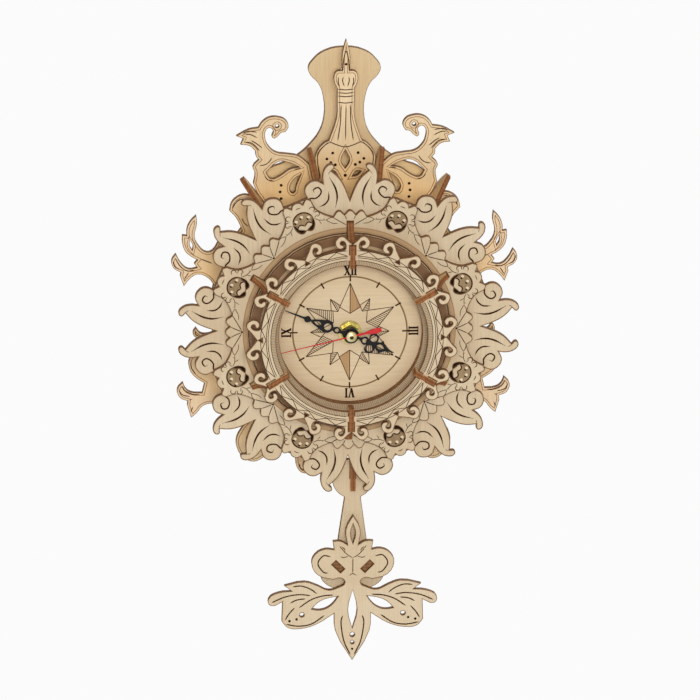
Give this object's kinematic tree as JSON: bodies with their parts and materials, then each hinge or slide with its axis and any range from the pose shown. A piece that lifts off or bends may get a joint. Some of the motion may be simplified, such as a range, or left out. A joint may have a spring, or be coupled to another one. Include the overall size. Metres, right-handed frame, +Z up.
{
  "type": "plywood wall clock kit with pendulum",
  "caption": "Ornate plywood wall clock: layered leaf rings round a dial in a scrolled bezel, a spire and birds above, battery movement and swinging pendulum below.",
  "frame": {"origin": "on the back face of the hanger, on the clock's axis of symmetry, 13 mm below the centre of the nail hole", "axes": "+X to the right as seen from the room, +Y into the wall, +Z up"},
  "size_m": [0.208, 0.0695, 0.3794],
  "materials": {
    "pale_plywood": "bare pale plywood with brown cut edges and dark engraved lines",
    "warm_plywood": "bare plywood of the rear ornament, warmed by light from the layers around it",
    "burnt_plywood": "plywood whose laser-cut edge faces the room",
    "black_paint": "satin black stamped hand",
    "red_paint": "satin red stamped hand",
    "brass": "bright",
    "steel": "plain",
    "black_plastic": "matt moulded",
    "cell_wrapper": "plain shrink wrapper"
  },
  "bodies": {
    "clock_body": {"back_plate": "pale_plywood", "leaf_ring": "pale_plywood", "medallion_ring": "pale_plywood", "dial_spacer_ring": "pale_plywood", "dial_plate": "pale_plywood", "dial_ring_rear": "pale_plywood", "dial_ring_front": "pale_plywood", "bezel_segment_1": "pale_plywood", "bezel_segment_2": "pale_plywood", "bezel_segment_3": "pale_plywood", "bezel_segment_4": "pale_plywood", "bezel_segment_5": "pale_plywood", "bezel_segment_6": "pale_plywood", "spire_panel": "warm_plywood", "bird_panel_left": "warm_plywood", "bird_panel_right": "warm_plywood", "horn_panel_left": "warm_plywood", "horn_panel_right": "warm_plywood", "sprig_panel_left": "warm_plywood", "sprig_panel_right": "warm_plywood", "lobe_panel_left": "warm_plywood", "lobe_panel_right": "warm_plywood", "crown_fin_1": "burnt_plywood", "crown_fin_2": "burnt_plywood", "crown_fin_3": "burnt_plywood", "crown_fin_4": "burnt_plywood", "side_fin_1": "burnt_plywood", "side_fin_2": "burnt_plywood", "side_fin_3": "burnt_plywood", "side_fin_4": "burnt_plywood", "side_fin_5": "burnt_plywood", "side_fin_6": "burnt_plywood", "main_rib_1": "burnt_plywood", "main_rib_2": "burnt_plywood", "main_rib_3": "burnt_plywood", "main_rib_4": "burnt_plywood", "main_rib_5": "burnt_plywood", "main_rib_6": "burnt_plywood", "threaded_bush": "brass", "dial_washer": "brass", "dial_nut": "brass", "movement_case": "black_plastic", "pendulum_drive": "black_plastic", "battery_cell": "cell_wrapper", "rocker_pin": "steel"},
    "hours": {"hour_hand": "black_paint"},
    "minutes": {"minute_hand": "black_paint"},
    "seconds": {"second_hand": "red_paint", "hub_cap": "brass"},
    "knob": {"setting_knob": "black_plastic"},
    "pendulum": {"pendulum_rocker": "black_plastic", "hanger_fin": "burnt_plywood", "pendulum_rod": "pale_plywood", "bob_ornament": "pale_plywood", "bob_key_left": "burnt_plywood", "bob_key_right": "burnt_plywood"}
  },
  "joints": [
    {"name": "second_turn", "type": "hinge", "parent": "clock_body", "child": "seconds", "pos_m": [0, -0.0635, -0.133], "axis": [0, 1, 0], "continuous": true},
    {"name": "minute_turn", "type": "hinge", "parent": "clock_body", "child": "minutes", "pos_m": [0, -0.0615, -0.133], "axis": [0, 1, 0], "continuous": true},
    {"name": "hour_turn", "type": "hinge", "parent": "clock_body", "child": "hours", "pos_m": [0, -0.0595, -0.133], "axis": [0, 1, 0], "continuous": true},
    {"name": "knob_turn", "type": "hinge", "parent": "clock_body", "child": "knob", "pos_m": [0, -0.031, -0.133], "axis": [0, 1, 0], "continuous": true},
    {"name": "pendulum_swing", "type": "hinge", "parent": "clock_body", "child": "pendulum", "pos_m": [0.0036, -0.03855, -0.184], "axis": [0, 1, 0], "range_deg": [-8, 8]}
  ],
  "couplings": [
    {"joint": "minute_turn", "follows": "second_turn", "ratio": 0.016667},
    {"joint": "hour_turn", "follows": "second_turn", "ratio": 0.0013889},
    {"joint": "knob_turn", "follows": "second_turn", "ratio": 0.016667}
  ]
}
